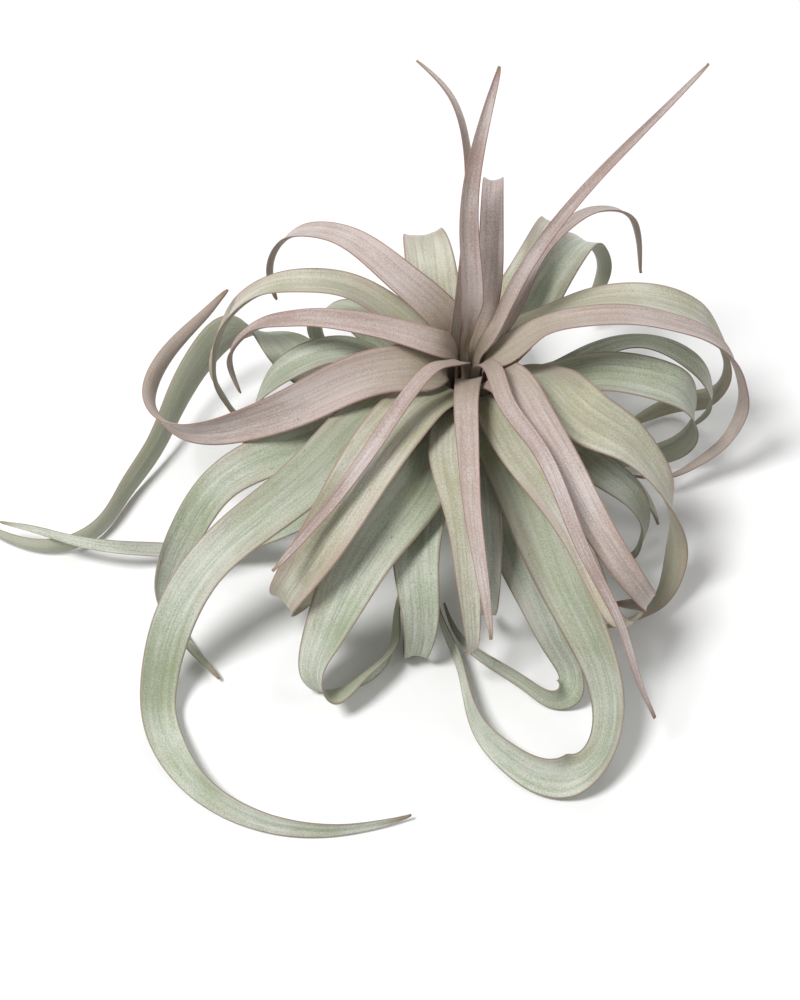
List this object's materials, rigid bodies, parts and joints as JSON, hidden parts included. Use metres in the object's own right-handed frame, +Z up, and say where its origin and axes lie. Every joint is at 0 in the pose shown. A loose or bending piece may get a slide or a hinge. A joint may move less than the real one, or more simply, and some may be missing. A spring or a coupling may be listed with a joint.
{
  "type": "air plant",
  "caption": "Air plant: a loose rosette of long silvery curled leaves on a short woody stem, standing on its flat cut base with no pot and no roots.",
  "frame": {"origin": "middle of the stem's cut base, on the surface the plant stands on", "axes": "+X to the plant's right along its longest spread, +Y to its back, +Z up along the stem"},
  "size_m": [0.3474, 0.2925, 0.2033],
  "materials": {
    "stem": "rough",
    "heart_leaf": "matte",
    "inner_leaf": "matte",
    "middle_leaf": "matte",
    "outer_leaf": "matte",
    "hidden_leaf": "matte"
  },
  "bodies": {
    "root": {"heart_leaf_back": "heart_leaf", "heart_leaf_front_left": "heart_leaf", "heart_leaf_front_right": "heart_leaf", "heart_leaf_left_narrow": "heart_leaf", "heart_leaf_spear": "heart_leaf", "heart_leaf_tall": "heart_leaf", "hidden_leaf_back_left": "hidden_leaf", "hidden_leaf_back_left_low": "hidden_leaf", "hidden_leaf_back_low": "hidden_leaf", "hidden_leaf_back_lowest": "hidden_leaf", "hidden_leaf_back_right_lowest": "hidden_leaf", "hidden_leaf_right_low": "hidden_leaf", "inner_leaf_arched": "inner_leaf", "inner_leaf_back_left": "inner_leaf", "inner_leaf_back_slender": "inner_leaf", "inner_leaf_front": "inner_leaf", "inner_leaf_front_right": "inner_leaf", "inner_leaf_left_hooked": "inner_leaf", "inner_leaf_right": "inner_leaf", "middle_leaf_back": "middle_leaf", "middle_leaf_back_right": "middle_leaf", "middle_leaf_front": "middle_leaf", "middle_leaf_front_left": "middle_leaf", "middle_leaf_front_right": "middle_leaf", "middle_leaf_left": "middle_leaf", "middle_leaf_right": "middle_leaf", "middle_leaf_right_back": "middle_leaf", "outer_leaf_back_right": "outer_leaf", "outer_leaf_front_left": "outer_leaf", "outer_leaf_front_left_long": "outer_leaf", "outer_leaf_front_looped": "outer_leaf", "outer_leaf_front_low": "outer_leaf", "outer_leaf_front_narrow": "outer_leaf", "outer_leaf_front_short": "outer_leaf", "outer_leaf_left": "outer_leaf", "outer_leaf_left_long": "outer_leaf", "outer_leaf_left_low": "outer_leaf", "outer_leaf_left_tip": "outer_leaf", "outer_leaf_right": "outer_leaf", "outer_leaf_right_back": "outer_leaf", "outer_leaf_right_front": "outer_leaf", "stem": "stem"}
  },
  "joints": []
}
